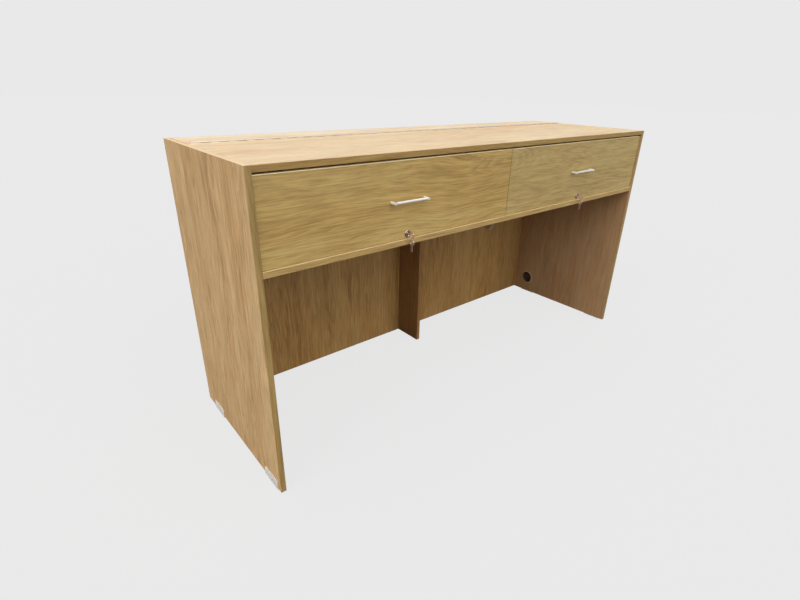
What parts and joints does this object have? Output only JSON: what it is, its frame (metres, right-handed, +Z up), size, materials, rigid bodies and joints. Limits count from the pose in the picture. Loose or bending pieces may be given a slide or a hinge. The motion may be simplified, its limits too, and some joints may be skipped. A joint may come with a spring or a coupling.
{
  "type": "teacher desk",
  "caption": "Long panel-built teacher desk with lockable drawers over the knee space, a full back panel and hinged cable flaps along the rear of the top.",
  "frame": {"origin": "centre of the bounding box at floor level, under the glides", "axes": "+X along the length to the user's right, +Y from the drawers to the back panel, +Z up"},
  "size_m": [1.804, 0.605, 0.9303],
  "materials": {
    "oak_worktop": "pale oak-look laminate, satin, straight grain along the length",
    "oak_panel": "oak-look laminate, satin, upright grain",
    "oak_front": "oak-look laminate, satin, grain along the length",
    "oak_inner": "oak-look laminate, satin, upright grain",
    "white_board": "white laminate, matt",
    "white_sheet": "white-faced hardboard, matt",
    "hinge_aluminium": "satin aluminium",
    "zinc_steel": "zinc-plated steel",
    "handle_aluminium": "satin anodised aluminium",
    "lock_nickel": "nickel-plated",
    "key_nickel": "nickel-plated brass",
    "ring_steel": "polished steel wire",
    "glide_plastic": "off-white moulded plastic",
    "port_plastic": "beige moulded plastic",
    "port_cap_plastic": "dark brown moulded plastic"
  },
  "bodies": {
    "carcass": {"back_panel": "oak_inner", "back_port_cap": "port_cap_plastic", "back_port_liner": "port_plastic", "bay_back_board": "oak_inner", "bay_divider": "oak_inner", "hinge_pin": "zinc_steel", "left_back_glide": "glide_plastic", "left_end_panel": "oak_panel", "left_front_glide": "glide_plastic", "left_inner_runner_fixed_member": "zinc_steel", "left_outer_runner_fixed_member": "zinc_steel", "middle_support": "oak_inner", "right_back_glide": "glide_plastic", "right_end_panel": "oak_panel", "right_front_glide": "glide_plastic", "right_inner_runner_fixed_member": "zinc_steel", "right_outer_runner_fixed_member": "zinc_steel", "shelf": "oak_front", "side_port_cap": "port_cap_plastic", "side_port_liner": "port_plastic", "worktop": "oak_worktop", "worktop_hinge_leaf": "hinge_aluminium"},
    "left_flap": {"left_flap": "oak_worktop", "left_flap_hinge_leaf": "hinge_aluminium"},
    "left_drawer": {"left_drawer_front": "oak_front", "left_drawer_outer_side": "white_board", "left_drawer_inner_side": "white_board", "left_drawer_back": "white_board", "left_drawer_bottom": "white_sheet", "left_drawer_handle": "handle_aluminium", "left_lock_body": "lock_nickel", "left_outer_runner_drawer_member": "zinc_steel", "left_inner_runner_drawer_member": "zinc_steel"},
    "left_outer_middle": {"left_outer_runner_middle_member": "zinc_steel"},
    "left_inner_middle": {"left_inner_runner_middle_member": "zinc_steel"},
    "left_lock": {"left_lock_plug": "lock_nickel", "left_lock_cam": "lock_nickel", "left_key": "key_nickel"},
    "left_ring": {"left_key_ring": "ring_steel"},
    "left_spare": {"left_spare_key": "key_nickel"},
    "right_flap": {"right_flap": "oak_worktop", "right_flap_hinge_leaf": "hinge_aluminium"},
    "right_drawer": {"right_drawer_front": "oak_front", "right_drawer_outer_side": "white_board", "right_drawer_inner_side": "white_board", "right_drawer_back": "white_board", "right_drawer_bottom": "white_sheet", "right_drawer_handle": "handle_aluminium", "right_lock_body": "lock_nickel", "right_outer_runner_drawer_member": "zinc_steel", "right_inner_runner_drawer_member": "zinc_steel"},
    "right_outer_middle": {"right_outer_runner_middle_member": "zinc_steel"},
    "right_inner_middle": {"right_inner_runner_middle_member": "zinc_steel"},
    "right_lock": {"right_lock_plug": "lock_nickel", "right_lock_cam": "lock_nickel", "right_key": "key_nickel"},
    "right_ring": {"right_key_ring": "ring_steel"},
    "right_spare": {"right_spare_key": "key_nickel"}
  },
  "joints": [
    {"name": "left_drawer_slide", "type": "slide", "parent": "carcass", "child": "left_drawer", "axis": [0, -1, 0], "range_m": [0, 0.33]},
    {"name": "left_outer_middle_slide", "type": "slide", "parent": "carcass", "child": "left_outer_middle", "axis": [0, -1, 0], "range_m": [0, 0.165]},
    {"name": "left_inner_middle_slide", "type": "slide", "parent": "carcass", "child": "left_inner_middle", "axis": [0, -1, 0], "range_m": [0, 0.165]},
    {"name": "left_flap_hinge", "type": "hinge", "parent": "carcass", "child": "left_flap", "pos_m": [-0.44, 0.1425, 0.9278], "axis": [1, 0, 0], "range_deg": [0, 175]},
    {"name": "left_lock_turn", "type": "hinge", "parent": "left_drawer", "child": "left_lock", "pos_m": [-0.4415, -0.2725, 0.6955], "axis": [0, 1, 0], "range_deg": [0, 90]},
    {"name": "left_ring_swing", "type": "hinge", "parent": "left_lock", "child": "left_ring", "pos_m": [-0.4415, -0.292, 0.6921], "axis": [1, 0, 0], "range_deg": [-45, 5]},
    {"name": "left_spare_swing", "type": "hinge", "parent": "left_ring", "child": "left_spare", "pos_m": [-0.4415, -0.292, 0.6781], "axis": [1, 0, 0], "range_deg": [-45, 5]},
    {"name": "right_drawer_slide", "type": "slide", "parent": "carcass", "child": "right_drawer", "axis": [0, -1, 0], "range_m": [0, 0.33]},
    {"name": "right_outer_middle_slide", "type": "slide", "parent": "carcass", "child": "right_outer_middle", "axis": [0, -1, 0], "range_m": [0, 0.165]},
    {"name": "right_inner_middle_slide", "type": "slide", "parent": "carcass", "child": "right_inner_middle", "axis": [0, -1, 0], "range_m": [0, 0.165]},
    {"name": "right_flap_hinge", "type": "hinge", "parent": "carcass", "child": "right_flap", "pos_m": [0.44, 0.1425, 0.9278], "axis": [1, 0, 0], "range_deg": [0, 175]},
    {"name": "right_lock_turn", "type": "hinge", "parent": "right_drawer", "child": "right_lock", "pos_m": [0.4415, -0.2725, 0.6955], "axis": [0, 1, 0], "range_deg": [0, 90]},
    {"name": "right_ring_swing", "type": "hinge", "parent": "right_lock", "child": "right_ring", "pos_m": [0.4415, -0.292, 0.6921], "axis": [1, 0, 0], "range_deg": [-45, 5]},
    {"name": "right_spare_swing", "type": "hinge", "parent": "right_ring", "child": "right_spare", "pos_m": [0.4415, -0.292, 0.6781], "axis": [1, 0, 0], "range_deg": [-45, 5]}
  ],
  "couplings": [
    {"joint": "left_outer_middle_slide", "follows": "left_drawer_slide", "ratio": 0.5},
    {"joint": "left_inner_middle_slide", "follows": "left_drawer_slide", "ratio": 0.5},
    {"joint": "right_outer_middle_slide", "follows": "right_drawer_slide", "ratio": 0.5},
    {"joint": "right_inner_middle_slide", "follows": "right_drawer_slide", "ratio": 0.5}
  ]
}
